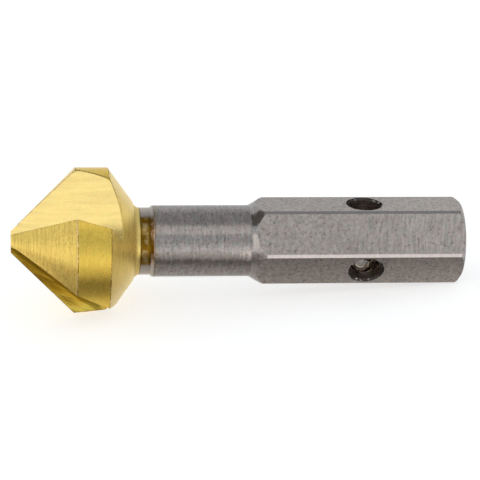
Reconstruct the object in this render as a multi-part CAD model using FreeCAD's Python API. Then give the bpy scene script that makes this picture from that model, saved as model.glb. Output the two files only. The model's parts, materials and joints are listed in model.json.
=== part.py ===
import FreeCAD, Part
import math
import os

from FreeCAD import Matrix, Vector

# Countersink bit: one bar of tool steel, turned, milled and ground.
# It is modelled along +X, from the tip plane at x = 0 to the shank's end, and is then laid down
# as it rests: on one flat of the hexagon and on the back edge of the head's rim.
# Angles around the bit start at its front, -Y, and rise towards +Z. Millimetres and degrees.

# Whole bit
overall_length = 62.9

# Head
head_diameter = 20.5
point_angle = 90.0
tip_flat_diameter = 3.1
rim_width = 4.63
back_cone_angle = 107.7
back_cone_small_diameter = 11.08
relief_offset = 0.13
relief_start_angle = 60.0

# Neck and round shaft
neck_fillet_radius = 1.0
neck_diameter = 9.34
neck_length = 1.35
neck_chamfer_length = 0.37
shaft_diameter = 9.94
shaft_length = 13.43

# Hexagonal shank
hex_across_flats = 10.8
hex_corner_diameter = 12.27
hex_lead_angle = 60.0
hex_end_chamfer = 0.66
hex_end_diameter = 10.6

# Cross holes: one drilled from the top flat and nearly through, one from a lower flat into the first
hole_diameter = 4.6
hole_mouth_diameter = 5.06
hole_from_end = 13.78
drill_point_angle = 118.0
top_hole_angle = 90.0
top_hole_depth = 9.3
side_hole_angle = -30.0
side_hole_depth = 5.4

# Flutes, each ground by one pass of a bevelled wheel whose flat side leaves the rake face
flute_count = 3
wheel_radius = 65.0
wheel_bevel_angle = 63.6
wheel_corner_radius = 0.45
wheel_thickness = 20.0
rake_tilt_angle = 15.77
rake_side_angle = 140.84
rake_offset = 0.21
root_start_angle = 16.5
root_start_offset = 0.1
land_gap_angle = 76.4

# Room that cutting shapes have past the surface they cut
overcut = 1.0


def tan_deg(angle):
    return math.tan(math.radians(angle))


def around(angle):
    """Unit vector across the bit at an angle around it."""
    return Vector(0, -math.cos(math.radians(angle)), math.sin(math.radians(angle)))


# Stations along the bit that follow from the sizes above
head_radius = head_diameter / 2
tip_radius = tip_flat_diameter / 2
shaft_radius = shaft_diameter / 2
neck_radius = neck_diameter / 2
hex_corner_radius = hex_corner_diameter / 2
hex_end_radius = hex_end_diameter / 2
flat_height = hex_across_flats / 2
back_cone_small_radius = back_cone_small_diameter / 2

rim_front = (head_radius - tip_radius) / tan_deg(point_angle / 2)
rim_back = rim_front + rim_width
back_cone_end = rim_back + (head_radius - back_cone_small_radius) / tan_deg(back_cone_angle / 2)
fillet_rise = back_cone_small_radius - neck_radius
fillet_reach = math.sqrt(max(neck_fillet_radius**2 - (neck_fillet_radius - fillet_rise)**2, 0))
neck_start = back_cone_end + fillet_reach
neck_end = neck_start + neck_length
shaft_start = neck_end + neck_chamfer_length
hex_lead_start = shaft_start + shaft_length
hex_lead_end = hex_lead_start + (hex_corner_radius - shaft_radius) / tan_deg(hex_lead_angle / 2)
hex_chamfer_start = overall_length - hex_end_chamfer
hole_station = overall_length - hole_from_end


def revolve(points, arc_through=None):
    """Solid of revolution about the X axis from (x, radius) points; one span may be an arc."""
    outline = [Vector(x, 0, radius) for x, radius in points]
    edges = []
    for number, (start, end) in enumerate(zip(outline, outline[1:] + outline[:1])):
        if arc_through and number == arc_through[0]:
            middle = Vector(arc_through[1][0], 0, arc_through[1][1])
            edges.append(Part.Arc(start, middle, end).toShape())
        else:
            edges.append(Part.LineSegment(start, end).toShape())
    face = Part.Face(Part.Wire(edges))
    return face.revolve(Vector(0, 0, 0), Vector(1, 0, 0), 360)


def neck_fillet_middle():
    """Point halfway round the fillet between the back cone and the neck."""
    start = math.asin((neck_fillet_radius - fillet_rise) / neck_fillet_radius)
    half = (start + math.pi / 2) / 2
    return (neck_start - neck_fillet_radius * math.cos(half),
            neck_radius + neck_fillet_radius * (1 - math.sin(half)))


def turned_bar():
    """The head with its cones, the neck and the round shaft, run on inside the hexagon."""
    points = [
        (0, 0), (0, tip_radius), (rim_front, head_radius), (rim_back, head_radius),
        (back_cone_end, back_cone_small_radius), (neck_start, neck_radius),
        (neck_end, neck_radius), (shaft_start, shaft_radius),
        (hex_lead_end, shaft_radius), (hex_lead_end, 0),
    ]
    return revolve(points, (points.index((back_cone_end, back_cone_small_radius)), neck_fillet_middle()))


def hexagon_prism(start, end):
    """Hexagonal bar with flats at the top and the bottom."""
    corner = flat_height / math.cos(math.pi / 6)
    corners = [Vector(start, 0, 0) + around(60 * number) * corner for number in range(6)]
    face = Part.Face(Part.makePolygon(corners + corners[:1]))
    return face.extrude(Vector(end - start, 0, 0))


def hexagon_shank():
    """Hexagonal shank with turned corners, a turned cone in front and a chamfered end."""
    turned = revolve([
        (hex_lead_start, 0), (hex_lead_start, shaft_radius), (hex_lead_end, hex_corner_radius),
        (hex_chamfer_start, hex_corner_radius), (overall_length, hex_end_radius), (overall_length, 0),
    ])
    return turned.common(hexagon_prism(hex_lead_start - overcut, overall_length + overcut))


def cross_hole(angle, depth):
    """One blind hole drilled into its flat, as deep at full width as given, with its broken mouth."""
    outward = around(angle)
    mouth = Vector(hole_station, 0, 0) + outward * flat_height
    radius = hole_diameter / 2
    point_length = radius / tan_deg(drill_point_angle / 2)
    floor = mouth - outward * depth
    drilled = Part.makeCylinder(radius, depth + overcut, floor, outward)
    point = Part.makeCone(0, radius, point_length, floor - outward * point_length, outward)
    break_depth = (hole_mouth_diameter - hole_diameter) / 2
    flared = Part.makeCone(radius, hole_mouth_diameter / 2 + overcut, break_depth + overcut,
                           mouth - outward * break_depth, outward)
    return drilled.fuse([point, flared]).removeSplitter()


def wheel_axes():
    """Wheel axis, square to the rake face, then the flute's run and its way out in that face."""
    tilt = math.radians(rake_tilt_angle)
    axis = Vector(math.sin(tilt), 0, 0) + around(rake_side_angle) * math.cos(tilt)
    along = Vector(1, 0, 0) - axis * axis.x
    along.normalize()
    return axis, along, along.cross(axis)


def flute_wheel():
    """Grinding wheel of one flute: flat on the rake face, bevelled on the other wall."""
    axis, along, outward = wheel_axes()
    start = math.radians(root_start_angle)
    centre = (axis * rake_offset - along * (wheel_radius * math.sin(start))
              + outward * (root_start_offset + wheel_radius * math.cos(start)))
    top_radius = wheel_radius - wheel_thickness / tan_deg(wheel_bevel_angle)
    wheel = Part.makeCone(wheel_radius, top_radius, wheel_thickness)
    rim = [edge for edge in wheel.Edges
           if abs(edge.BoundBox.ZMax) < overcut and edge.BoundBox.XLength > wheel_radius]
    wheel = wheel.makeFillet(wheel_corner_radius, rim)
    turn = FreeCAD.Rotation(Vector(0, 0, 1), axis)
    wheel.Placement = FreeCAD.Placement(centre, turn)
    return wheel


def turned(shape, angle):
    """A copy of a shape turned around the bit."""
    copy = shape.copy()
    copy.rotate(Vector(0, 0, 0), Vector(-1, 0, 0), angle)
    return copy


def repeated(shape):
    """A cutting shape copied evenly around the bit, once for each flute."""
    return [turned(shape, 360.0 / flute_count * number) for number in range(flute_count)]


def land_sector(length):
    """Pie-shaped slice around one land, from the middle of one flute to the middle of the next."""
    step = 360.0 / flute_count
    sector = Part.makeCylinder(
        head_radius + overcut, length, Vector(-overcut, 0, 0), Vector(1, 0, 0), step)
    centre = sector.CenterOfMass
    middle = math.degrees(math.atan2(centre.z, -centre.y))
    return turned(sector, land_gap_angle - step / 2 - middle)


def land_relief():
    """What is ground off one land's cone, so that it falls away behind its cutting edge."""
    depth = rim_front + rim_width / 2
    slope = tan_deg(point_angle / 2)
    centre = around(relief_start_angle + 90) * relief_offset
    start_radius = tip_radius - overcut * slope
    length = depth + 2 * overcut
    cone = Part.makeCone(start_radius, start_radius + length * slope, length,
                         Vector(-overcut, 0, 0) + centre, Vector(1, 0, 0))
    return land_sector(depth + overcut).cut(cone)


def rest_matrix(shape):
    """How the bit comes to rest: nose up until a flat's end and the rim share one level."""
    flat_end = overall_length - (flat_height - hex_end_radius) * hex_end_chamfer / (
        hex_corner_radius - hex_end_radius)
    tilt = math.atan2(head_radius - flat_height, flat_end - rim_back)
    laid = Matrix()
    laid.rotateY(tilt)
    box = shape.transformed(laid, copy=True).optimalBoundingBox(False, False)
    laid.move(Vector(-box.Center.x, -box.Center.y, -box.ZMin))
    return laid


def countersink_bit():
    """The whole bit along +X."""
    bit = turned_bar().fuse(hexagon_shank())
    bit = bit.cut(repeated(land_relief()))
    bit = bit.cut(repeated(flute_wheel()))
    bit = bit.cut([cross_hole(top_hole_angle, top_hole_depth), cross_hole(side_hole_angle, side_hole_depth)])
    return bit.removeSplitter()


def main():
    bit = countersink_bit()
    laid = bit.transformed(rest_matrix(bit), copy=True)
    os.makedirs("parts", exist_ok=True)
    laid.exportStep("parts/countersink_bit.step")
    box = laid.optimalBoundingBox(False, False)
    print("solids", len(laid.Solids), "valid", laid.isValid(), "volume", round(laid.Volume, 2))
    print("box", [round(value, 3) for value in (box.XLength, box.YLength, box.ZLength)])


main()
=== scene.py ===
import json
import math
import random

import bmesh
import bpy
from mathutils import Matrix, Vector


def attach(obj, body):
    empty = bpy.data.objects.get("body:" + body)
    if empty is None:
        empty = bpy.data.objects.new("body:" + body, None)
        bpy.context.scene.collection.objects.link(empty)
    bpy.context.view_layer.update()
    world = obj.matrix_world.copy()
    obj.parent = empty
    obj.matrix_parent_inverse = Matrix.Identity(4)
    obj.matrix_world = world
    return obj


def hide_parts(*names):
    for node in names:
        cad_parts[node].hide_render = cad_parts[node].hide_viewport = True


bl_info = {
    "name": "Countersink bit",
    "version": (1, 0, 0),
    "blender": (4, 5, 0),
    "location": "3D View > Sidebar > Countersink bit",
    "description": "A gold-coated three-flute countersink bit with a hexagonal shank, on a pale studio floor",
    "category": "Object",
}

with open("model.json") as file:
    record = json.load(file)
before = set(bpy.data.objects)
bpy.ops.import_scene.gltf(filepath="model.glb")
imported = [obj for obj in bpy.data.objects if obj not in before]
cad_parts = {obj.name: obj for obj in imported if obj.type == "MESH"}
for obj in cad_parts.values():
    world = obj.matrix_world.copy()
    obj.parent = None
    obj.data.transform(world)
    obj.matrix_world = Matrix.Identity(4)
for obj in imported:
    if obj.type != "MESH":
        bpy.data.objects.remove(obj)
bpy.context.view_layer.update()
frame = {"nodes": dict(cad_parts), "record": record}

MM = 0.001
NODE = "countersink_bit"
BODY = "root"


def mount(name):
    """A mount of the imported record, by name."""
    return next(m for m in frame["record"]["mounts"] if m["name"] == name)


# Where the bit lies: its axis runs from the middle of the tip flat to the middle of the shank's end.
# Stations along the bit are in millimetres from the tip, and radii in millimetres from the axis.
BIT_LENGTH = 62.9
HOLE_STATION = 49.12
AXIS = Vector(mount("shank_end")["axis"]).normalized()
TIP = Vector(mount("shank_end")["pos_m"]) - AXIS * (BIT_LENGTH * MM)
NOSE_UP = math.atan2(-AXIS.z, AXIS.x)
TO_BIT = (Matrix.Translation(TIP) @ Matrix.Rotation(NOSE_UP, 4, "Y")).inverted()
HOLE_AXES = [Vector(mount(name)["axis"]).normalized() for name in ("cross_hole", "side_hole")]
HOLE_MIDDLE = TIP + AXIS * HOLE_STATION * MM

# The head's outline and the shank's
TIP_RADIUS = 1.55
HEAD_RADIUS = 10.25
RIM_FRONT = 8.7
RIM_BACK = 13.33
BACK_CONE_HALF_ANGLE = math.radians(53.85)
BACK_CONE_END = 16.77
SHAFT_START = 19.48
HEX_LEAD_START = 32.91
HEX_LEAD_END = 34.93
HEX_CHAMFER_START = 62.24
HEX_FLAT_HEIGHT = 5.4
HEX_CORNER_RADIUS = 6.135
HOLE_RADIUS = 2.3
MOUTH_RADIUS = 2.53
FLAT_STEP = math.radians(60.0)
TOP_HOLE_ANGLE = math.radians(90.0)
SIDE_HOLE_ANGLE = math.radians(-30.0)

# The wheel that ground one flute, in the bit's own directions, and the angle where that flute's sector starts
WHEEL_RADIUS = 65.0
WHEEL_TILT = math.radians(15.77)
WHEEL_SIDE = math.radians(140.84)
WHEEL_OFFSET = 0.21
ROOT_START = math.radians(16.5)
ROOT_OFFSET = 0.1
FLUTE_STEP = math.radians(120.0)
FLUTE_SECTOR_START = math.radians(16.4)


def around(angle_value):
    """Unit vector across the bit at an angle around it, from its front towards its top."""
    return Vector((0.0, -math.cos(angle_value), math.sin(angle_value)))


def wheel_frame():
    """The flute's run, the way out of it, and the centre of the wheel that ground it."""
    axis = Vector((math.sin(WHEEL_TILT), 0.0, 0.0)) + around(WHEEL_SIDE) * math.cos(WHEEL_TILT)
    along = (Vector((1.0, 0.0, 0.0)) - axis * axis.x).normalized()
    outward = along.cross(axis)
    centre = (axis * WHEEL_OFFSET - along * (WHEEL_RADIUS * math.sin(ROOT_START))
              + outward * (ROOT_OFFSET + WHEEL_RADIUS * math.cos(ROOT_START)))
    return along, outward, centre


# Sizes and colours

def number(name, description, default, **settings):
    """A property that holds a number."""
    return bpy.props.FloatProperty(name=name, description=description, default=default, **settings)


def length(name, description, default):
    """A property that holds a length in metres."""
    return number(name, description, default, min=0.0, unit="LENGTH", subtype="DISTANCE", precision=5)


def colour(name, description, default):
    """A property that holds a colour."""
    return bpy.props.FloatVectorProperty(name=name, description=description, default=default,
                                         size=3, min=0.0, max=1.0, subtype="COLOR")


def angle(name, description, default):
    """A property that holds an angle, with its default given in degrees."""
    return number(name, description, math.radians(default), subtype="ANGLE", unit="ROTATION")


class BitSizes(bpy.types.PropertyGroup):
    """Sizes of the bit's small forms and of the marks on it."""
    edge_break: length("Edge break", "Width of the rounding on every ground or turned edge", 0.05 * MM)
    coating_end: length("Coating end", "How far from the tip the gold coating reaches", 17.62 * MM)
    tint_end: length("Heat tint end", "How far from the tip the brown heat tint reaches", 19.5 * MM)
    turning_line: length("Turning lines", "Width of the turning lines", 0.26 * MM)
    turning_run: length("Turning line length", "How far a turning line runs around the bit", 1.3 * MM)
    grinding_line: length("Grinding lines", "Width of the grinding lines", 0.2 * MM)
    speck: length("Speck size", "Size of the specks in the steel", 0.3 * MM)
    corner_wear: length("Corner wear", "How far the turned corners of the hexagon are worn down", 0.036 * MM)
    mouth_wear: length("Mouth wear", "How ragged the rims of the cross holes are", 0.09 * MM)


class BitColours(bpy.types.PropertyGroup):
    """Colours of the bare steel and of the coating."""
    coating: colour("Coating", "Gold coating on the head's front cone", (0.785, 0.55, 0.135))
    rim_coating: colour("Rim coating", "Gold coating on the head's rim, deeper in colour", (0.82, 0.57, 0.10))
    back_coating: colour("Back coating", "Gold coating behind the rim, paler", (0.81, 0.58, 0.135))
    neck_coating: colour("Neck coating", "Gold coating at the neck, where it thins", (0.77, 0.58, 0.19))
    ground_coating: colour("Ground coating", "Gold coating on the ground flute walls", (0.89, 0.69, 0.27))
    rake_coating: colour("Rake coating", "Gold coating on the rake faces", (0.90, 0.655, 0.115))
    dark_rake: colour("Dark streaks", "Darkest streaks on the rake faces", (0.42, 0.285, 0.035))
    # The pale colour of worn edges, which also serves as a painted highlight along the rim's front edge
    worn_edge_highlight: colour("Worn edge", "Pale edge where the coating is worn", (0.86, 0.63, 0.36))
    # Dark brown of the head's broken edges and of pits, also used as painted shade along the flutes' edges
    dark_edge: colour("Dark edge", "Brown line of coating along a ground edge", (0.17, 0.10, 0.02))
    steel: colour("Steel", "Bare tool steel", (0.362, 0.333, 0.312))
    flat_steel: colour("Milled steel", "Flats of the hexagon", (0.415, 0.374, 0.343))
    polished_steel: colour("Polished steel", "Turned corners of the hexagon", (0.385, 0.355, 0.343))
    heat_tint: colour("Heat tint", "Brown heat tint at the neck", (0.20, 0.10, 0.006))
    bronze_tint: colour("Bronze tint", "Lighter patches in the heat tint", (0.40, 0.29, 0.12))
    dull_bore: colour("Dull bore", "Scaled wall of the cross holes near their mouths", (0.19, 0.155, 0.125))
    bore: colour("Bore", "Glossy wall further down the cross holes", (0.60, 0.55, 0.50))


class StageSettings(bpy.types.PropertyGroup):
    """The camera and the floor."""
    camera_distance: length("Camera distance", "From the camera to what it aims at", 307.856 * MM)
    camera_azimuth: angle("Camera azimuth", "Direction of the camera, seen from above", -95.3342)
    camera_elevation: angle("Camera elevation", "Height of the camera above the level", 21.8930)
    camera_roll: angle("Camera roll", "Turn of the camera about its line of sight", -3.5099)
    camera_lens: number("Lens", "Focal length in millimetres", 165.396, min=1.0)
    camera_aim: bpy.props.FloatVectorProperty(
        name="Camera aim", description="Point that the camera looks at", size=3,
        default=(0.220439 * MM, 0.228 * MM, 8.476862 * MM), subtype="TRANSLATION", unit="LENGTH")
    floor_size: length("Floor size", "Length of each side of the floor", 6.0)
    floor_colour: colour("Floor colour", "Pale floor", (0.7, 0.7, 0.7))
    floor_glow: number("Floor glow", "Plain white that the floor shows", 0.6, min=0.0, max=1.0)


# Building node trees

def set_input(tree, socket, value):
    """Links a node's value to an input, or sets the input to a constant."""
    if isinstance(value, Value):
        tree.links.new(value.socket, socket)
    else:
        socket.default_value = (*value[:3], 1.0) if socket.type == "RGBA" else value


def add_node(tree, kind, inputs=None, **settings):
    """One node, with its settings, and with its inputs set to constants or linked to other nodes' values."""
    node = tree.nodes.new(kind)
    for name, value in settings.items():
        setattr(node, name, value)
    for name, value in (inputs or {}).items():
        set_input(tree, node.inputs[name], value)
    return node


def empty_tree(owner):
    """The node tree of a new material or world, with nothing in it."""
    owner.use_nodes = True
    owner.node_tree.nodes.clear()
    return owner.node_tree


def add_surface(tree, kind, inputs, output="ShaderNodeOutputMaterial"):
    """A shader and its output."""
    shader = add_node(tree, kind, inputs)
    add_node(tree, output, {"Surface": Value(shader.outputs[0])})


def shaded(tone, share):
    """A colour made darker or lighter by a share."""
    return tuple(min(part * share, 1.0) for part in tone[:3])


class Value:
    """What a node gives out. Arithmetic on it, and each method, adds further nodes to the same tree."""

    def __init__(self, socket):
        self.socket = socket

    def node(self, kind, inputs, output=0, **settings):
        """What a further node gives out."""
        node = add_node(self.socket.id_data, kind, inputs, **settings)
        return Value(node.outputs[output])

    def math(self, operation, second=0.0):
        """A number worked out from this one, and from a second one where the operation takes it."""
        return self.node("ShaderNodeMath", {0: self, 1: second}, operation=operation)

    def __add__(self, other):
        return self.math("ADD", other)

    def __sub__(self, other):
        return self.math("SUBTRACT", other)

    def __rsub__(self, other):
        return self.node("ShaderNodeMath", {0: other, 1: self}, operation="SUBTRACT")

    def __mul__(self, other):
        return self.math("MULTIPLY", other)

    def __truediv__(self, other):
        return self.math("DIVIDE", other)

    def __rtruediv__(self, other):
        return self.node("ShaderNodeMath", {0: other, 1: self}, operation="DIVIDE")

    def ramp(self, low, high, to_low=0.0, to_high=1.0, smooth=False):
        """The value carried evenly, and clamped, from one range to another."""
        return self.node("ShaderNodeMapRange", {
            "Value": self, "From Min": low, "From Max": high, "To Min": to_low, "To Max": to_high},
            "Result", interpolation_type="SMOOTHSTEP" if smooth else "LINEAR")

    def band(self, start, end, soft):
        """1 between two values, with soft ends."""
        rise = self.ramp(start - soft, start + soft, smooth=True)
        return rise * self.ramp(end - soft, end + soft, 1.0, 0.0, smooth=True)

    def mix(self, first, second):
        """The first colour where the value is 0, the second where it is 1."""
        return self.node("ShaderNodeMix", {0: self, 6: first, 7: second}, 2, data_type="RGBA")

    def mix_values(self, first, second):
        """The first number where the value is 0, the second where it is 1."""
        return self.node("ShaderNodeMix", {0: self, 2: first, 3: second}, data_type="FLOAT")

    def tinted(self, tint):
        """A colour multiplied by another."""
        return self.node("ShaderNodeMix", {0: 1.0, 6: self, 7: tint}, 2, data_type="RGBA",
                         blend_type="MULTIPLY")

    def scaled(self, factor):
        """A colour made lighter or darker."""
        return self.node("ShaderNodeVectorMath", {0: self, "Scale": factor}, operation="SCALE")

    def steps(self, steps, tone):
        """A colour that goes through steps of brightness as the value grows."""
        reach = steps[-1][0]
        node = add_node(self.socket.id_data, "ShaderNodeValToRGB", {"Fac": self / reach})
        stops = node.color_ramp.elements
        while len(stops) < len(steps):
            stops.new(0.5)
        for stop, (value, level) in zip(stops, steps):
            stop.position = value / reach
            stop.color = (*shaded(tone, level), 1.0)
        return Value(node.outputs["Color"])

    def vector(self, operation, other, output=0):
        """A vector worked out from this one and another."""
        return self.node("ShaderNodeVectorMath", {0: self, 1: tuple(other)}, output, operation=operation)

    def dot(self, direction):
        """How far a vector reaches in a direction."""
        return self.vector("DOT_PRODUCT", direction, "Value")

    def size(self):
        """The length of a vector."""
        return self.vector("LENGTH", (0.0, 0.0, 0.0), "Value")

    def parts(self):
        """The X, Y and Z of a vector."""
        node = add_node(self.socket.id_data, "ShaderNodeSeparateXYZ", {0: self})
        return [Value(output) for output in node.outputs]

    def noise(self, scale, detail=2.0, roughness=0.5):
        """Noise from 0 to 1 at a place."""
        return self.node("ShaderNodeTexNoise", {
            "Vector": self, "Scale": scale, "Detail": detail, "Roughness": roughness}, "Fac")


def combine(x, y, z=0.0):
    """A vector with these parts, of which the first comes from a node."""
    return x.node("ShaderNodeCombineXYZ", {"X": x, "Y": y, "Z": z})


def coordinates(tree, kind):
    """The place that is being shaded, as the Texture Coordinate node gives it."""
    return Value(tree.nodes.new("ShaderNodeTexCoord").outputs[kind])


class Group:
    """A shader node group being built: its inputs are made first, with their defaults."""

    def __init__(self, name, inputs):
        self.tree = bpy.data.node_groups.new(name, "ShaderNodeTree")
        for title, default in inputs.items():
            self.add_socket(title, "INPUT", isinstance(default, tuple)).default_value = default
        node = self.tree.nodes.new("NodeGroupInput")
        self.given = [Value(node.outputs[title]) for title in inputs]

    def add_socket(self, title, way, is_vector):
        """A new input or output of the group."""
        kind = "NodeSocketVector" if is_vector else "NodeSocketFloat"
        return self.tree.interface.new_socket(name=title, in_out=way, socket_type=kind)

    def give(self, outputs):
        """The finished group, with its outputs by name."""
        for title, value in outputs.items():
            self.add_socket(title, "OUTPUT", value.socket.type == "VECTOR")
        add_node(self.tree, "NodeGroupOutput", outputs)
        return self.tree


# Marks and grain, which several materials share. Their sizes are in millimetres.

NO_PLACE = (0.0, 0.0, 0.0)
# How far the noise is moved for a second pattern, from one flute to the next and from one flat to the next
SECOND_PATTERN = (13.7, 4.1, 9.3)
NEXT_FLUTE = 7.3
NEXT_FLAT = 5.1


def bit_place_group():
    """Place on the bit in millimetres: along its axis from the tip, across it, and around it."""
    group = Group("Bit place", {})
    in_scene = coordinates(group.tree, "Object")
    place = in_scene.node("ShaderNodeMapping", {
        "Vector": in_scene, "Location": TIP, "Rotation": (0.0, NOSE_UP, 0.0), "Scale": (MM, MM, MM)},
        vector_type="TEXTURE")
    along, side, height = place.parts()
    radius = place.vector("MULTIPLY", (0.0, 1.0, 1.0)).size()
    return group.give({"Place": place, "Along": along, "Radius": radius,
                       "Around": height.math("ARCTAN2", side * -1.0)})


def lines_and_fine(drawn, scale, fine_scale, finer):
    """Lines in a place that is stretched along them, and finer lines between them."""
    return {"Lines": drawn.noise(scale, 2.0, 0.6).ramp(0.3, 0.7),
            "Fine": drawn.vector("MULTIPLY", finer).noise(fine_scale, 1.0).ramp(0.3, 0.7)}


def turning_group():
    """Short lines around the axis, as a lathe or a cylindrical grinder leaves them."""
    group = Group("Turning marks", {
        "Place": NO_PLACE, "Radius": 1.0, "Slope": 0.31, "Line Width": 0.26, "Line Length": 1.3})
    place, radius, slope, line_width, line_length = group.given
    along, side, height = place.parts()
    drawn = combine((along + radius * slope) / line_width, side / line_length, height / line_length)
    return group.give(lines_and_fine(drawn, 0.8, 0.9, (2.1, 2.6, 2.6)))


def grinding_group():
    """Lines on the flutes, on circles about the wheel that ground each one."""
    group = Group("Grinding marks", {"Place": NO_PLACE, "Around": 0.0, "Line Width": 0.2, "Line Length": 4.0})
    place, around_bit, line_width, line_length = group.given
    along, outward, centre = wheel_frame()
    sector = ((around_bit - FLUTE_SECTOR_START) / FLUTE_STEP).math("FLOOR")
    turned = place.node("ShaderNodeVectorRotate", {"Vector": place, "Angle": sector * FLUTE_STEP},
                        rotation_type="X_AXIS")
    from_wheel = turned.vector("SUBTRACT", centre)
    run = from_wheel.dot(along)
    reach = combine(run, from_wheel.dot(outward)).size()
    drawn = combine(reach / line_width, run / line_length, sector * NEXT_FLUTE)
    return group.give({**lines_and_fine(drawn, 0.6, 0.8, (2.3, 1.7, 1.0)), "Reach": reach})


def milling_group():
    """Shallow arcs across each flat of the hexagon, one below the other along the shank."""
    group = Group("Milling marks", {"Along": 0.0, "Around": 0.0, "Radius": 1.0, "Line Width": 0.25,
                                    "Arc Radius": 22.0, "Arc Middle": -2.5})
    along, around_bit, radius, line_width, arc_radius, arc_middle = group.given
    within = around_bit.math("FLOORED_MODULO", FLAT_STEP)
    across = (within - FLAT_STEP / 2).math("SINE") * radius
    flat = (around_bit / FLAT_STEP).math("FLOOR")
    off = across - arc_middle
    sag = off * off / (arc_radius * 2.0)
    lines = combine((along - sag) / line_width, across * 0.5, flat * NEXT_FLAT).noise(0.7, 1.0)
    every_other = flat.math("FLOORED_MODULO", 2.0)
    return group.give({"Lines": lines.ramp(0.32, 0.68), "Share": every_other.ramp(0.0, 1.0, 1.0, 0.3)})


def grain_group():
    """Uneven finish: soft patches, fine specks and scattered pits."""
    group = Group("Grain", {"Place": NO_PLACE, "Patch Size": 2.0, "Speck Size": 0.3})
    place, patch_size, speck_size = group.given
    moved = place.vector("ADD", SECOND_PATTERN)
    speck_scale = 0.6 / speck_size
    return group.give({
        "Patches": place.noise(1.0 / patch_size, 3.0, 0.6).ramp(0.3, 0.7),
        "Hue": moved.noise(speck_scale * 0.6, 2.0, 0.6).ramp(0.32, 0.68),
        "Specks": place.noise(speck_scale, 2.0, 0.65).ramp(0.28, 0.72),
        "Pits": moved.noise(speck_scale * 1.3, 1.0).ramp(0.63, 0.72)})


def head_edge_group():
    """How near a place on a flute lies to the head's turned outline, from 0 to 1 at the edge."""
    group = Group("Head edge", {"Along": 0.0, "Radius": 0.0, "Width": 0.12})
    along, radius, width = group.given
    past_rim = (along - RIM_BACK).math("MAXIMUM", 0.0)
    back = HEAD_RADIUS - past_rim * math.tan(BACK_CONE_HALF_ANGLE)
    outline = (along + TIP_RADIUS).math("MINIMUM", back)
    return group.give({"Edge": ((outline - radius) / width).ramp(0.4, 1.0, 1.0, 0.0)})


# Materials

WHITE = (1.0, 1.0, 1.0)
# Colour of what is left of the shine where a surface is seen at a flat angle
GRAZING_GOLD = (1.0, 0.93, 0.77)
GRAZING_NECK = (1.0, 0.96, 0.88)
GRAZING_STEEL = (0.8, 0.8, 0.8)
GRAZING_SCALE = (0.2, 0.2, 0.2)
# Painted sheen: coating behind the rim, and heat tint, paler where they are turned away from the camera
PALE_BACK_SHEEN = (0.95, 0.86, 0.56)
PALE_TINT_SHEEN = (0.43, 0.395, 0.37)
# Spots in the heat tint and its scale, and lighter steel on the cone in front of the hexagon, a painted
# highlight
DARK_PINK = (0.15, 0.085, 0.06)
LIGHT_PINK = (0.66, 0.50, 0.43)
PALE_SCALE = (0.36, 0.27, 0.19)
LEAD_HIGHLIGHT_STEEL = (0.75, 0.72, 0.7)

# Stretches of the neck, from and to: the steep end of its fillet, the spots in the heat tint, and the chamfer
# before the shaft, darkened as painted shade
STEEP_FILLET = (17.1, 17.6)
BRONZE_SPOTS = (17.9, 18.7)
SHADED_CHAMFER_BAND = (18.85, 19.25)
PINK_SPOTS = (19.1, 19.7)
# Stretches of the hexagon over which its arcs grow stronger and its flats lighter
ARCS_GROW = (42.0, 54.0)
FLATS_LIGHTEN = (46.0, 58.0)
# How far from the axis the scale in each cross hole starts and is full
SIDE_SCALE = (3.7, 4.1)
TOP_SCALE = (2.3, 3.2)
# Where a flute leaves the head, and its root there, by the distance from the wheel's axis
FLUTE_EXIT = (13.8, 14.3)
EXIT_ROOT = (64.38, 64.52)
# The land's edge on a rake face, by the distance from the wheel's axis: beside the cone a curve, given by
# its start, slope and bend, and beside the rim a line. Then the two sides and the end of the dark strip
# beside it, a painted shadow of the land.
EDGE_BESIDE_CONE = (64.21, 0.39, 0.01)
EDGE_BESIDE_RIM = (60.2, 0.12)
SHADOW_STRIP_SIDES = (-0.36, -0.08)
SHADOW_STRIP_END = (12.2, 12.8)


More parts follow.
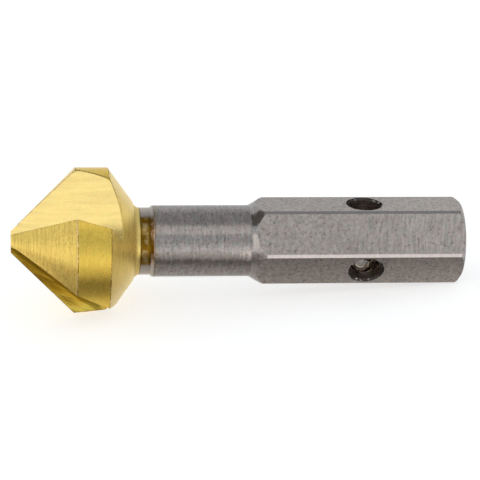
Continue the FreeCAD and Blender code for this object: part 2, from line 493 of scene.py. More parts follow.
class Finish:
    """A metal material being built, with the marks and the grain that its surface carries."""

    def __init__(self, name, groups, sizes, patch_size, speck_share=1.0):
        self.material = bpy.data.materials.new(name)
        self.tree = empty_tree(self.material)
        self.groups = groups
        self.sizes = sizes
        self.place, self.along, self.radius, self.around = self.use("place")
        self.patches, self.hue, self.specks, self.pits = self.use("grain", {
            "Place": self.place, "Patch Size": patch_size, "Speck Size": sizes.speck / MM * speck_share})

    def use(self, name, inputs=None):
        """What a group placed in the material gives, in the order of its outputs."""
        node = add_node(self.tree, "ShaderNodeGroup", inputs, node_tree=self.groups[name])
        return [Value(output) for output in node.outputs]

    def turning(self, share=1.0, run_share=1.0, slope=0.31):
        """Turning lines and finer ones, as wide and long as shares of the sizes say."""
        return self.use("turning", {
            "Place": self.place, "Radius": self.radius, "Slope": slope,
            "Line Width": self.sizes.turning_line / MM * share,
            "Line Length": self.sizes.turning_run / MM * run_share})

    def grinding(self, share, run):
        """Grinding lines, finer ones, and the distance from the wheel's axis."""
        return self.use("grinding", {
            "Place": self.place, "Around": self.around,
            "Line Width": self.sizes.grinding_line / MM * share, "Line Length": run})

    def head_edge(self, width):
        """1 at the edge between a flute and the head's outline, and 0 at a width from it."""
        return self.use("head_edge", {"Along": self.along, "Radius": self.radius, "Width": width})[0]

    def turned_away(self):
        """0 where the surface faces the camera, 1 where it is seen at a flat angle."""
        return Value(add_node(self.tree, "ShaderNodeLayerWeight", {"Blend": 0.5}).outputs["Facing"])

    def metal(self, base, variation, contrast, hue_shift=0.0):
        """A metal's colour, darker and lighter by a variation from 0 to 1, and now pinker, now greener."""
        shade = variation.mix(shaded(base, 1.0 - contrast), shaded(base, 1.0 + contrast))
        if not hue_shift:
            return shade
        warm = (1.0 + hue_shift, 1.0 - hue_shift, 1.0 - hue_shift * 0.5)
        cool = (1.0 - hue_shift, 1.0 + hue_shift * 0.15, 1.0 + hue_shift * 0.1)
        return shade.tinted(self.hue.mix(cool, warm))

    def done(self, shade, roughness, height=None, depth=0.0, grazing=GRAZING_GOLD, coat=None):
        """The finished material; its fine relief is as deep as a depth in millimetres."""
        inputs = {"Base Color": shade, "Metallic": 1.0, "Roughness": roughness, "Specular Tint": grazing}
        if height is not None:
            inputs["Normal"] = height.node("ShaderNodeBump", {
                "Height": height, "Distance": depth * MM, "Strength": 1.0})
        add_surface(self.tree, "ShaderNodeBsdfPrincipled", {**inputs, **(coat or {})})
        return self.material


def coating_turned(finish, colours):
    """Gold coating on the rim and the cones, with fine rings and a pale line at the rim's front, where the
    edge is worn and a highlight is painted.
    """
    along = finish.along
    behind = along.ramp(RIM_BACK, RIM_BACK + 0.05)
    lines, fine = finish.turning(0.9, 1.9, behind.mix_values(0.5, -0.8))
    on_rim = along.band(RIM_FRONT, RIM_BACK, 0.05)
    variation = (lines * on_rim.mix_values(0.62, 0.2) + fine * 0.2 + finish.specks * 0.3
                 + finish.patches * 0.1)
    front = finish.metal(colours.coating, variation, 0.3, 0.02)
    rim = finish.metal(colours.rim_coating, variation, 0.2, 0.02)
    back = finish.metal(colours.back_coating, variation, 0.16, 0.02)
    # Paler where seen at a flat angle: a painted sheen
    back = finish.turned_away().ramp(0.45, 0.8, 0.0, 0.6).mix(back, PALE_BACK_SHEEN)
    shade = behind.mix(on_rim.mix(front, rim), back)
    # Pale line along the worn front edge of the rim: a painted highlight
    worn = along.band(RIM_FRONT - 0.07, RIM_FRONT + 0.05, 0.03) * finish.specks.ramp(0.25, 0.6)
    shade = (worn * 0.6).mix(shade, colours.worn_edge_highlight)
    shade = (finish.pits * 0.16).mix(shade, colours.dark_edge)
    rough = finish.specks.ramp(0.0, 1.0, 0.2, 0.32) + behind * 0.11
    return finish.done(shade, rough, lines * 0.6 + finish.specks * 0.4, 0.006)


def coating_ground(finish, colours):
    """Gold coating on the curved flute wall, with long fine lines and a dark line at its edges, which is
    painted shade.
    """
    lines, fine, reach = finish.grinding(1.0, 5.0)
    variation = lines * 0.5 + fine * 0.3 + finish.specks * 0.2
    shade = finish.metal(colours.ground_coating, variation, 0.17, 0.02)
    # Dark line along the flute's edges against the head's outline: painted shade
    edge = finish.head_edge(0.16) * finish.specks.ramp(0.1, 0.6, 0.35, 0.9)
    shade = edge.mix(shade, colours.dark_edge)
    dull = reach.ramp(*EXIT_ROOT) * finish.along.ramp(*FLUTE_EXIT)
    rough = fine.ramp(0.0, 1.0, 0.24, 0.34) + dull * 0.25
    return finish.done(shade, rough, lines * 0.6 + fine * 0.4, 0.005)


def land_shadow(along, reach):
    """Painted shadow of the land: a dark strip of a rake face beside the land in front of it."""
    start, slope, bend = EDGE_BESIDE_CONE
    beside_cone = start - along * (slope - along * bend)
    start, slope = EDGE_BESIDE_RIM
    beside_rim = along * slope + start
    inward = reach - beside_cone.math("MAXIMUM", beside_rim)
    return inward.ramp(*SHADOW_STRIP_SIDES, 0.0, 0.7) * along.ramp(*SHADOW_STRIP_END, 1.0, 0.0)


def coating_rake(finish, colours):
    """Gold coating on the rake faces, deeper in colour, with curved streaks, a dark line of painted shade at
    its edges, and a painted shadow beside the land.
    """
    lines, fine, reach = finish.grinding(2.0, 3.0)
    variation = lines * 0.75 + fine * 0.15 + finish.patches * 0.1
    shade = variation.ramp(0.15, 0.75).mix(colours.dark_rake, colours.rake_coating)
    # Dark line along the flute's edges against the head's outline: painted shade
    edge = finish.head_edge(0.14) * finish.specks.ramp(0.1, 0.6, 0.3, 0.8)
    shade = edge.mix(shade, colours.dark_edge)
    # Painted shadow of the land on the rake face
    shade = land_shadow(finish.along, reach).mix(shade, shaded(colours.dark_rake, 0.55))
    return finish.done(shade, fine.ramp(0.0, 1.0, 0.16, 0.28), lines * 0.8 + fine * 0.2, 0.02)


def coating_edge(finish, colours):
    """The head's broken edges: brown, with pale spots of wear and painted highlight that are thickest at the
    rim's front.
    """
    at_rim = finish.along.band(RIM_FRONT - 0.12, RIM_FRONT + 0.1, 0.04)
    worn = finish.specks.ramp(at_rim.mix_values(0.55, 0.2), at_rim.mix_values(0.85, 0.55))
    return finish.done(worn.mix(colours.dark_edge, colours.worn_edge_highlight), 0.4)


def neck(finish, colours):
    """The neck: gold to where the coating ends, then a brown heat tint with bronze and pink spots."""
    along = finish.along
    coating_end = finish.sizes.coating_end / MM
    tint_end = finish.sizes.tint_end / MM
    lines = finish.turning(0.8, 1.2)[0]
    drifting = along + finish.patches.ramp(0.0, 1.0, -0.12, 0.12)
    variation = lines * 0.5 + finish.specks * 0.5
    gold = finish.metal(colours.neck_coating, variation, 0.15)
    tint = finish.metal(colours.heat_tint, variation, 0.35)
    bronze = finish.patches.ramp(0.45, 0.75) * drifting.band(*BRONZE_SPOTS, 0.15)
    tint = bronze.mix(tint, colours.bronze_tint)
    # Darker band on the chamfer before the shaft: painted shade
    dark = drifting.band(*SHADED_CHAMFER_BAND, 0.12)
    tint = (dark * 0.6).mix(tint, shaded(colours.heat_tint, 0.5))
    pink = drifting.band(*PINK_SPOTS, 0.06) * finish.patches.ramp(0.4, 0.6)
    tint = (pink * 0.9).mix(tint, finish.specks.mix(DARK_PINK, LIGHT_PINK))
    # Paler where seen at a flat angle: a painted sheen
    tint = finish.turned_away().ramp(0.26, 0.36, 0.0, 0.85).mix(tint, PALE_TINT_SHEEN)
    shade = along.ramp(coating_end - 0.03, coating_end + 0.03).mix(gold, tint)
    line = along.band(coating_end - 0.04, coating_end + 0.08, 0.04)
    shade = (line * 0.7).mix(shade, shaded(colours.heat_tint, 0.45))
    shade = drifting.ramp(tint_end, tint_end + 0.15).mix(shade, colours.steel)
    coat = {"Coat Weight": along.ramp(coating_end, coating_end + 0.1) * 0.03, "Coat Roughness": 0.15}
    steep = along.ramp(*STEEP_FILLET, 1.0, 0.0)
    rough = finish.specks.ramp(0.0, 1.0, 0.2, 0.34) + steep * 0.22
    relief = (lines * 0.6 + finish.specks * 0.4) * (1.0 - steep)
    return finish.done(shade, rough, relief, 0.006, GRAZING_NECK, coat)


def steel_turned(finish, colours):
    """Bare steel of the round shaft, the cone in front of the hexagon and the shank's end."""
    along = finish.along
    lines, fine = finish.turning(slope=along.ramp(BIT_LENGTH - 0.3, BIT_LENGTH - 0.1, 0.31, 1.2))
    variation = lines * 0.45 + fine * 0.2 + finish.specks * 0.35
    shade = finish.metal(colours.steel, variation, 0.42, 0.05)
    tint = along.ramp(SHAFT_START - 0.1, SHAFT_START + 0.9, 0.5, 0.0) * finish.patches
    shade = tint.mix(shade, colours.bronze_tint)
    scaled = along.ramp(SHAFT_START + 0.12, SHAFT_START + 0.36, 0.9, 0.0) * finish.specks.ramp(0.15, 0.5)
    shade = scaled.mix(shade, finish.hue.mix(colours.heat_tint, PALE_SCALE))
    lead = along.band(HEX_LEAD_START + 0.05, HEX_LEAD_END + 0.05, 0.02)
    # Lighter steel over the whole lead cone: a painted highlight
    shade = (lead * 0.18).mix(shade, LEAD_HIGHLIGHT_STEEL)
    shade = (finish.pits * 0.5).mix(shade, shaded(colours.steel, 0.3))
    # Dark line where the shaft meets the cone in front of the hexagon: painted shade
    crease_shade = along.band(HEX_LEAD_START - 0.12, HEX_LEAD_START + 0.04, 0.05)
    shade = (crease_shade * 0.35).mix(shade, shaded(colours.steel, 0.35))
    rough = finish.specks.ramp(0.0, 1.0, 0.15, 0.27) - lead * 0.07
    return finish.done(shade, rough, lines * 0.6 + finish.specks * 0.4, 0.01, GRAZING_STEEL)


def steel_flat(finish, colours):
    """Milled flats of the hexagon: mottled, with dark specks and arcs that show most near the shank's end."""
    arcs, share = finish.use("milling", {
        "Along": finish.along, "Around": finish.around, "Radius": finish.radius})
    arc_weight = share * finish.along.ramp(*ARCS_GROW, 0.2, 0.52, smooth=True)
    variation = arcs * arc_weight + finish.specks * (0.9 - arc_weight) + finish.patches * 0.1
    shade = finish.metal(colours.flat_steel, variation, 0.32, 0.035)
    shade = shade.scaled(finish.along.ramp(*FLATS_LIGHTEN, 0.98, 1.07))
    shade = (finish.pits * 0.55).mix(shade, shaded(colours.steel, 0.25))
    rough = finish.specks.ramp(0.0, 1.0, 0.24, 0.28)
    return finish.done(shade, rough, arcs * 0.5 + finish.specks * 0.5, 0.003, GRAZING_STEEL)


def steel_corner(finish, colours):
    """Turned corners of the hexagon, smoother and brighter than the flats."""
    variation = finish.turning()[0] * 0.5 + finish.specks * 0.5
    return finish.done(finish.metal(colours.polished_steel, variation, 0.12), 0.2, grazing=WHITE)


def steel_edge(finish, colours):
    """Broken edges of the shank: light where they are worn."""
    worn = finish.specks.ramp(0.2, 0.8)
    shade = worn.mix(shaded(colours.steel, 0.8), shaded(colours.polished_steel, 1.1))
    return finish.done(shade, 0.3, grazing=WHITE)


def bore_wall(finish, colours):
    """Wall of the cross holes: dull and brown near the mouth, and glossy further in."""
    side_height = finish.place.dot(around(SIDE_HOLE_ANGLE))
    top_height = finish.place.dot(around(TOP_HOLE_ANGLE))
    by_side = side_height.ramp(*SIDE_SCALE)
    near_mouth = by_side.math("MAXIMUM", top_height.ramp(*TOP_SCALE))
    variation = finish.specks * 0.4 + finish.patches * 0.6
    inside = finish.metal(colours.bore, variation, 0.12, 0.03)
    height = by_side.mix_values(top_height, side_height)
    rings = combine(height * 4.0, finish.along * 0.7).noise(1.0, 2.0, 0.6)
    scored = rings.ramp(0.35, 0.65) * 0.6 + variation * 0.4
    dull = finish.metal(colours.dull_bore, scored, 0.75, 0.06)
    return finish.done(near_mouth.mix(inside, dull), near_mouth.mix_values(0.1, 0.5), grazing=WHITE)


def hole_mouth(finish, colours):
    """The broken, worn mouths of the cross holes: dark with painted shade, and a few bright spots that are
    painted glints.
    """
    glints = finish.specks.ramp(0.7, 0.84)
    # Near-black colour as painted shade, with lighter spots as painted glints
    shade = glints.mix(shaded(colours.bore, 0.1), shaded(colours.polished_steel, 1.3))
    return finish.done(shade, 0.35, finish.specks, 0.02, GRAZING_SCALE)


# Each material's maker, the size of its soft patches in millimetres and, where they are larger, its specks
# as a share of their size
MATERIAL_MAKERS = (
    (coating_turned, 2.4), (coating_ground, 2.8), (coating_rake, 2.2), (coating_edge, 2.0), (neck, 1.6),
    (steel_turned, 1.8), (steel_flat, 2.5), (steel_corner, 2.0), (steel_edge, 2.0), (bore_wall, 1.2),
    (hole_mouth, 2.0, 1.3),
)


def make_materials(sizes, colours):
    """Every material of the bit, by name."""
    groups = {"place": bit_place_group(), "turning": turning_group(), "grinding": grinding_group(),
              "milling": milling_group(), "grain": grain_group(), "head_edge": head_edge_group()}
    return {maker.__name__: maker(Finish(maker.__name__, groups, sizes, *grain), colours)
            for maker, *grain in MATERIAL_MAKERS}


# The bit

# How far a face or a point may be from where it was drawn and still be told by its place, in millimetres
TIP_SLACK = 0.01
SLACK = 0.02
LOOSE_SLACK = 0.05
MOUTH_SLACK = 0.06
CORNER_SLACK = 0.08
# How deep a hole's wall ends and its broken mouth starts, and how far out its dressed rim may lie
WALL_END_DEPTH = 0.22
MOUTH_START_DEPTH = 0.26
DRESSED_RIM = 0.12
# A face beside a hole's mouth that faces along its axis by this share is part of the flat
FLAT_SHARE = 0.95
# A face less deep below the head's outline than this, that faces outwards by this share, is turned
TURNED_DEPTH = 0.3
OUTWARD_SHARE = 0.5
# How far from the tip the broken edges of the head end, and those of the neck
HEAD_EDGES_END = RIM_BACK + 1.0
NECK_EDGES_END = SHAFT_START - 0.2
# The flats run on a little past the start of the end chamfer, and face out to within a few degrees
FLATS_END = HEX_CHAMFER_START + 0.3
FLAT_TURN = math.radians(3.0)
# Edges this near to the tip stay as they are, and so do those that are less crisp than this
TIP_CLEARANCE = 0.6
CRISP_ANGLE = math.radians(25.0)
# Faces shade smooth into each other below this angle, and larger faces count for more where they do
SMOOTH_ANGLE = math.radians(28.0)
NORMAL_WEIGHT = 80
# Triangles that lie within this angle of one plane are joined, and points nearer than this are one
FLAT_ANGLE = math.radians(0.3)
MERGE_DISTANCE = 0.001 * MM
# How far the ragged rim of a hole's mouth wanders, in and out, as shares of its wear
RAGGED_IN = -0.35
RAGGED_OUT = 1.0
RAGGED_SEED = 41


def place_on_bit(point):
    """Along, radius and way out from the axis of a point, with lengths in millimetres."""
    local = TO_BIT @ point
    outward = Vector((0.0, local.y, local.z))
    return local.x / MM, outward.length / MM, outward.normalized()


def place_on_hole(point, axis):
    """Height above the bit's axis and distance from a cross hole's axis, and the way out from it."""
    away = point - HOLE_MIDDLE
    off = away - axis * away.dot(axis)
    return away.dot(axis) / MM, off.length / MM, off.normalized()


def outline_radius(along):
    """The head's turned outline before the flutes were ground."""
    if along > RIM_BACK:
        return HEAD_RADIUS - (along - RIM_BACK) * math.tan(BACK_CONE_HALF_ANGLE)
    return min(along + TIP_RADIUS, HEAD_RADIUS)


def part_of_cross_hole(point, normal):
    """Which part of a cross hole a face belongs to, if any: its wall or its broken mouth."""
    for axis in HOLE_AXES:
        height, off_axis, _ = place_on_hole(point, axis)
        if off_axis < HOLE_RADIUS + SLACK and abs(height) < HEX_FLAT_HEIGHT - WALL_END_DEPTH:
            return "bore_wall"
        if (off_axis < MOUTH_RADIUS + DRESSED_RIM and height > HEX_FLAT_HEIGHT - MOUTH_START_DEPTH
                and abs(normal.dot(axis)) < FLAT_SHARE):
            return "hole_mouth"
    return None


def head_finish(along, radius, facing, outward):
    """The name of the finish of a face on the head, in front of the neck."""
    on_outline = outline_radius(along) - radius < TURNED_DEPTH and facing.dot(outward) > OUTWARD_SHARE
    if along < TIP_SLACK or on_outline:
        return "coating_turned"
    return "coating_rake" if abs(facing.x - math.sin(WHEEL_TILT)) < SLACK else "coating_ground"


def finish_of(point, normal, broken_edge):
    """The name of the finish that a face has, by its place and its direction."""
    along, radius, outward = place_on_bit(point)
    facing = TO_BIT.to_3x3() @ normal
    hole_part = part_of_cross_hole(point, normal)
    if hole_part:
        return hole_part
    if broken_edge:
        if along < HEAD_EDGES_END:
            return "coating_edge"
        return "neck" if along < NECK_EDGES_END else "steel_edge"
    if along < BACK_CONE_END + LOOSE_SLACK:
        return head_finish(along, radius, facing, outward)
    if along < SHAFT_START + SLACK:
        return "neck"
    if HEX_LEAD_START < along < FLATS_END and abs(facing.x) < SLACK:
        off_flat = math.atan2(facing.z, -facing.y) % FLAT_STEP - FLAT_STEP / 2
        if abs(off_flat) < FLAT_TURN:
            return "steel_flat"
        if along > HEX_LEAD_END:
            return "steel_corner"
    return "steel_turned"


def select_edges(mesh, wanted):
    """Selects the edges that a test wants."""
    edit = bmesh.from_edit_mesh(mesh)
    for edge in edit.edges:
        edge.select_set(wanted(edge))
    edit.select_flush_mode()
    bmesh.update_edit_mesh(mesh)


def is_crisp(edge):
    """An edge to break: crisp, clear of the tip, and not along a turned corner of the hexagon."""
    places = [place_on_bit(vertex.co)[:2] for vertex in edge.verts]
    if min(along for along, radius in places) < TIP_CLEARANCE or edge.calc_face_angle(0.0) < CRISP_ANGLE:
        return False
    turned_corner = all(along > HEX_LEAD_END - LOOSE_SLACK and radius > HEX_CORNER_RADIUS - CORNER_SLACK
                        for along, radius in places)
    runs_across = abs(places[0][0] - places[1][0]) < 2 * LOOSE_SLACK
    return not turned_corner or runs_across


def out_of_mouth(vertex):
    """The way out of a cross hole for a point on the outer rim of its mouth, and nothing elsewhere."""
    for axis in HOLE_AXES:
        height, off_axis, outward = place_on_hole(vertex.co, axis)
        if abs(abs(height) - HEX_FLAT_HEIGHT) < SLACK and abs(off_axis - MOUTH_RADIUS) < MOUTH_SLACK:
            return outward
    return None


def wear_hole_mouths(mesh, wear):
    """Divides the rims of the cross holes' mouths and makes them ragged."""
    select_edges(mesh, lambda edge: all(out_of_mouth(vertex) for vertex in edge.verts))
    bpy.ops.mesh.subdivide(number_cuts=2)
    edit = bmesh.from_edit_mesh(mesh)
    chance = random.Random(RAGGED_SEED)
    for vertex in edit.verts:
        outward = out_of_mouth(vertex)
        if outward:
            vertex.co += outward * wear * chance.uniform(RAGGED_IN, RAGGED_OUT)
    bmesh.update_edit_mesh(mesh)


def wear_corners(mesh, wear):
    """Wears the turned corners of the hexagon down a little, so that they are wider."""
    corner = math.acos(HEX_FLAT_HEIGHT / HEX_CORNER_RADIUS)
    worn_radius = HEX_CORNER_RADIUS - wear / MM
    spread = (FLAT_STEP / 2 - math.acos(HEX_FLAT_HEIGHT / worn_radius)) / (FLAT_STEP / 2 - corner)
    to_scene = TO_BIT.inverted()
    edit = bmesh.from_edit_mesh(mesh)
    for vertex in edit.verts:
        along, radius, _ = place_on_bit(vertex.co)
        if radius > HEX_CORNER_RADIUS - SLACK and along > HEX_LEAD_END - LOOSE_SLACK:
            local = TO_BIT @ vertex.co
            at = math.atan2(local.z, -local.y)
            middle = round(at / FLAT_STEP) * FLAT_STEP
            out = around(middle + (at - middle) * spread) * worn_radius * MM
            vertex.co = to_scene @ Vector((local.x, out.y, out.z))
    bmesh.update_edit_mesh(mesh)


def sharpen_corners(mesh, names):
    """Marks the outlines of the turned corners as sharp, so that the flats don't shade into them."""
    beside = {}
    for face in mesh.polygons:
        for key in face.edge_keys:
            beside.setdefault(key, set()).add(names[face.material_index])
    for edge in mesh.edges:
        kinds = beside.get(edge.key, set())
        if "steel_corner" in kinds and len(kinds) > 1:
            edge.use_edge_sharp = True


def work_edges(mesh, sizes, edge_slot):
    """Joins the loose triangles to plain faces, wears mouths and corners, and breaks the crisp edges."""
    bpy.ops.object.mode_set(mode="EDIT")
    bpy.ops.mesh.select_mode(type="EDGE")
    bpy.ops.mesh.select_all(action="SELECT")
    bpy.ops.mesh.remove_doubles(threshold=MERGE_DISTANCE)
    bpy.ops.mesh.customdata_custom_splitnormals_clear()
    bpy.ops.mesh.dissolve_limited(angle_limit=FLAT_ANGLE, use_dissolve_boundaries=False)
    wear_hole_mouths(mesh, sizes.mouth_wear)
    wear_corners(mesh, sizes.corner_wear)
    select_edges(mesh, is_crisp)
    bpy.ops.mesh.bevel(offset=sizes.edge_break, offset_type="OFFSET", segments=2, profile=0.5,
                       affect="EDGES", clamp_overlap=False, loop_slide=False, material=edge_slot)
    bpy.ops.object.mode_set(mode="OBJECT")


def smooth_shading(piece, names):
    """Shades the piece smooth, with its crisp edges and the outlines of its turned corners sharp."""
    bpy.ops.object.shade_smooth_by_angle(angle=SMOOTH_ANGLE)
    sharpen_corners(piece.data, names)
    weighted = piece.modifiers.new("Even shading", "WEIGHTED_NORMAL")
    weighted.keep_sharp = True
    weighted.weight = NORMAL_WEIGHT
    bpy.ops.object.modifier_apply(modifier=weighted.name)


class COUNTERSINK_OT_make_bit(bpy.types.Operator):
    """Dress the bit: break its edges and give each face its finish"""
    bl_idname = "countersink.make_bit"
    bl_label = "Make the bit"

    def execute(self, context):
        sizes = context.scene.countersink_sizes
        materials = make_materials(sizes, context.scene.countersink_colours)
        names = list(materials)
        edge_slot = names.index("coating_edge")
        bpy.ops.object.select_all(action="DESELECT")
        piece = bpy.data.objects.new("dressed_bit", frame["nodes"][NODE].data.copy())
        context.scene.collection.objects.link(piece)
        context.view_layer.objects.active = piece
        piece.select_set(True)
        piece.data.materials.clear()
        for name in names:
            piece.data.materials.append(materials[name])
        work_edges(piece.data, sizes, edge_slot)
        for face in piece.data.polygons:
            finish = finish_of(face.center, face.normal, face.material_index == edge_slot)
            face.material_index = names.index(finish)
        smooth_shading(piece, names)
        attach(piece, BODY)
        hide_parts(NODE)
        return {"FINISHED"}


# The stage. Places in the studio are given by azimuth and elevation in degrees, and sizes in metres.

# Soft lamps: name, width and height, azimuth, elevation, distance, strength and colour
SOFT_BOXES = (
    ("front_top_box", (1.3, 0.45), -85.0, 56.0, 0.9, 0.44, (1.0, 0.955, 0.9)),
    ("back_box", (1.6, 0.4), 85.0, 22.0, 1.0, 0.16, WHITE),
    ("left_back_box", (0.5, 0.3), 162.0, 17.0, 1.0, 0.2, WHITE),
)
# Cards that face the bit: name, width and height, azimuth, elevation, distance, colour and strength
FACING_CARDS = (
    ("back_card", (0.16, 0.1), 60.0, 2.0, 0.25, (0.68, 0.66, 0.62), 1.0),
    ("left_card", (0.075, 0.11), -152.0, 15.0, 0.13, (1.0, 0.98, 0.94), 1.24),
    ("dark_card", (0.2, 0.12), 165.0, 52.0, 0.3, (0.14, 0.13, 0.12), 1.0),
)

# How bright the front card is, by the distance from the bit as a share of that of its darkest strip
CARD_STEPS = ((0.0, 0.74), (0.35, 0.55), (0.6, 0.42), (0.85, 0.25), (1.05, 0.22), (1.25, 0.4), (1.5, 0.62),
              (2.0, 0.74), (2.5, 0.9))
# How bright it is beside the head, by the millimetres to the left of the middle of the bit
LEFT_STEPS = ((0.0, 0.8), (18.0, 0.7), (27.0, 0.38), (42.0, 0.4), (56.0, 0.62), (68.0, 0.95))
CARD_TONE = (1.0, 0.97, 0.94)
# The middle of the head, in millimetres along the card
HEAD_MIDDLE = -22.0

# How bright the studio is by the sine of the elevation
SKY_STEPS = ((0.0, 0.88), (0.1, 0.84), (0.2, 0.74), (0.34, 0.66), (0.5, 0.7), (0.65, 0.68), (0.76, 0.57),
             (0.87, 0.46), (1.0, 0.43))
SKY_TONE = (0.955, 1.0, 1.035)


def sky_direction(azimuth, elevation):
    """Unit vector towards a place in the studio, from angles in degrees."""
    flat = math.cos(math.radians(elevation))
    return Vector((flat * math.cos(math.radians(azimuth)), flat * math.sin(math.radians(azimuth)),
                   math.sin(math.radians(elevation))))


def facing_bit(direction):
    """How a lamp or a card is turned, so that it faces the bit from a direction."""
    return direction.to_track_quat("Z", "Y").to_euler()


def soft_box(name, size, azimuth, elevation, distance, strength, tone):
    """A soft area lamp that faces the bit, as bright as its strength says."""
    lamp = bpy.data.lights.new(name, "AREA")
    lamp.shape = "RECTANGLE"
    lamp.size, lamp.size_y = size
    lamp.energy = strength * size[0] * size[1] * math.pi
    lamp.color = tone
    holder = bpy.data.objects.new(name, lamp)
    bpy.context.scene.collection.objects.link(holder)
    direction = sky_direction(azimuth, elevation)
    holder.location = direction * distance
    holder.rotation_euler = facing_bit(direction)
    holder.visible_camera = False


def card_material(name, glow, strength):
    """A plain glow: one colour, or what a function makes of the card's node tree."""
    material = bpy.data.materials.new(name)
    tree = empty_tree(material)
    glow_colour = glow(tree) if callable(glow) else glow
    add_surface(tree, "ShaderNodeEmission", {"Color": glow_colour, "Strength": strength})
    return material


def stage_card(name, size, location, glow, strength, rotation=(0.0, 0.0, 0.0)):
    """A card that only the metal sees, as a reflection."""
    bpy.ops.mesh.primitive_grid_add(x_subdivisions=2, y_subdivisions=2, size=1.0, location=location,
                                    rotation=rotation)
    card = bpy.context.object
    card.name = name
    card.scale = (*size, 1.0)
    bpy.ops.object.transform_apply(location=True, rotation=True, scale=True)
    card.visible_camera = False
    card.visible_diffuse = False
    card.visible_shadow = False
    card.data.materials.append(card_material(name, glow, strength))


def facing_card(name, size, azimuth, elevation, distance, tone, strength):
    """A card that faces the bit from a place in the studio."""
    direction = sky_direction(azimuth, elevation)
    stage_card(name, size, direction * distance, tone, strength, facing_bit(direction))


def front_card_glow(tree):
    """Darkest in a strip before the bit, further out beside the head, and fading to the floor's white.

    Its places are in millimetres: along the bit from its middle, and across from below it."""
    along, across, _ = coordinates(tree, "Object").parts()
    along = along / MM
    across = across / MM
    past_head = (along - HEAD_MIDDLE).math("MINIMUM", 0.0)
    away = combine(past_head, across).size()
    strip = along.ramp(-15.0, -11.0, 17.0, 11.5) + along.ramp(-8.0, 6.0, 0.0, -2.5)
    dark = (away / strip).steps(CARD_STEPS, CARD_TONE)
    near = across.ramp(-7.0, -1.0) * along.ramp(-15.0, -12.0, 1.0, 0.0)
    beside = near.math("MAXIMUM", along.ramp(-34.0, -26.0, 1.0, 0.0))
    pale = (along * -1.0).steps(LEFT_STEPS, CARD_TONE)
    pale = across.ramp(-15.0, -22.0).mix(pale, CARD_TONE)
    pale = across.ramp(-5.5, -3.0).mix(pale, shaded(CARD_TONE, 0.8))
    under_head = away.ramp(11.0, 7.5) * along.ramp(-16.0, -18.0)
    dark = under_head.mix(dark, shaded(CARD_TONE, 0.85))
    return beside.mix(dark, pale)


# Cards that lie on the floor in front of the bit, a shaded one and a bright strip on it: name, length and
# width, place, colour and strength
FLOOR_CARDS = (
    ("front_card", (0.105, 0.042), (-0.0155, -0.02, 0.0004), front_card_glow, 1.0),
    ("bright_strip", (0.044, 0.024), (0.024, -0.0235, 0.0008), (1.0, 0.965, 0.95), 1.72),
)


def make_world(scene):
    """A pale grey studio, dimmer overhead than at the level of the floor."""
    scene.world = bpy.data.worlds.new("studio")
    tree = empty_tree(scene.world)
    height = coordinates(tree, "Generated").parts()[2]
    shades = height.steps(SKY_STEPS, SKY_TONE)
    add_surface(tree, "ShaderNodeBackground", {"Color": shades, "Strength": 1.0}, "ShaderNodeOutputWorld")


def make_floor(settings):
    """A pale floor that keeps the bit's shadow and shows white to the camera and in the metal."""
    bpy.ops.mesh.primitive_grid_add(x_subdivisions=4, y_subdivisions=4, size=settings.floor_size,
                                    location=(0.0, 0.0, 0.0))
    floor = bpy.context.object
    floor.name = "floor"
    material = bpy.data.materials.new("pale_floor")
    tree = empty_tree(material)
    path = tree.nodes.new("ShaderNodeLightPath")
    camera, glossy, passed = [Value(path.outputs[name]) for name in (
        "Is Camera Ray", "Is Glossy Ray", "Is Transmission Ray")]
    seen = (camera + glossy + passed).math("MINIMUM", 1.0)
    add_surface(tree, "ShaderNodeBsdfPrincipled", {
        "Base Color": settings.floor_colour, "Metallic": 0.0, "Roughness": 0.9, "Specular IOR Level": 0.0,
        "Emission Color": WHITE, "Emission Strength": seen * settings.floor_glow})
    floor.data.materials.append(material)


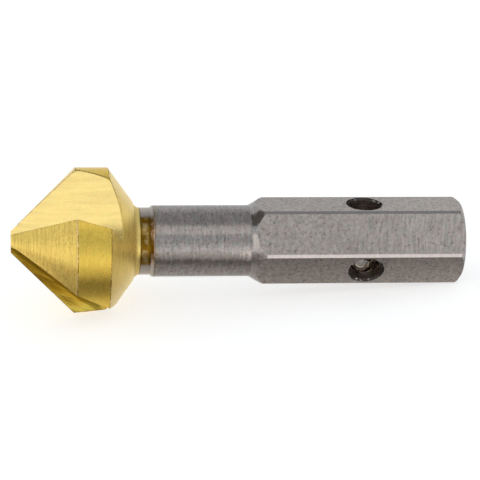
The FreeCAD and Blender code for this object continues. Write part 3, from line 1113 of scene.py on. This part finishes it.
def make_camera(scene, settings):
    """The camera at the photograph's viewing angle."""
    data = bpy.data.cameras.new("camera")
    data.sensor_width = 36.0
    data.lens = settings.camera_lens
    camera = bpy.data.objects.new("camera", data)
    scene.collection.objects.link(camera)
    direction = sky_direction(math.degrees(settings.camera_azimuth), math.degrees(settings.camera_elevation))
    camera.location = Vector(settings.camera_aim) + direction * settings.camera_distance
    side = Vector((0.0, 0.0, 1.0)).cross(direction).normalized()
    up = direction.cross(side)
    upright = Matrix((side, up, direction)).transposed().to_4x4()
    roll = Matrix.Rotation(settings.camera_roll, 4, "Z")
    camera.rotation_euler = (upright @ roll).to_euler()
    scene.camera = camera


class COUNTERSINK_OT_make_stage(bpy.types.Operator):
    """Set up the pale floor, the soft light and the camera"""
    bl_idname = "countersink.make_stage"
    bl_label = "Make the stage"

    def execute(self, context):
        scene = context.scene
        settings = scene.countersink_stage
        bpy.ops.object.select_all(action="DESELECT")
        make_camera(scene, settings)
        make_floor(settings)
        make_world(scene)
        for box in SOFT_BOXES:
            soft_box(*box)
        for card in FACING_CARDS:
            facing_card(*card)
        for card in FLOOR_CARDS:
            stage_card(*card)
        scene.view_settings.view_transform = "Standard"
        return {"FINISHED"}


class COUNTERSINK_PT_panel(bpy.types.Panel):
    """Sizes, colours and the operators that build the bit and its stage"""
    bl_label = "Countersink bit"
    bl_idname = "COUNTERSINK_PT_panel"
    bl_space_type = "VIEW_3D"
    bl_region_type = "UI"
    bl_category = "Countersink bit"

    def draw(self, context):
        for title in SETTINGS:
            group = getattr(context.scene, title)
            box = self.layout.box()
            for name in group.bl_rna.properties.keys():
                if name not in ("rna_type", "name"):
                    box.prop(group, name)
        self.layout.operator(COUNTERSINK_OT_make_bit.bl_idname)
        self.layout.operator(COUNTERSINK_OT_make_stage.bl_idname)


SETTINGS = {"countersink_sizes": BitSizes, "countersink_colours": BitColours,
            "countersink_stage": StageSettings}
CLASSES = (*SETTINGS.values(), COUNTERSINK_OT_make_bit, COUNTERSINK_OT_make_stage, COUNTERSINK_PT_panel)


def register():
    """Adds the classes, and their settings to the scene."""
    for item in CLASSES:
        bpy.utils.register_class(item)
    for title, group in SETTINGS.items():
        setattr(bpy.types.Scene, title, bpy.props.PointerProperty(type=group))


def unregister():
    """Takes the settings and the classes away again."""
    for title in SETTINGS:
        delattr(bpy.types.Scene, title)
    for item in reversed(CLASSES):
        bpy.utils.unregister_class(item)


def main():
    """Makes the bit and its stage."""
    register()
    bpy.ops.countersink.make_bit()
    bpy.ops.countersink.make_stage()


if __name__ == "__main__":
    main()
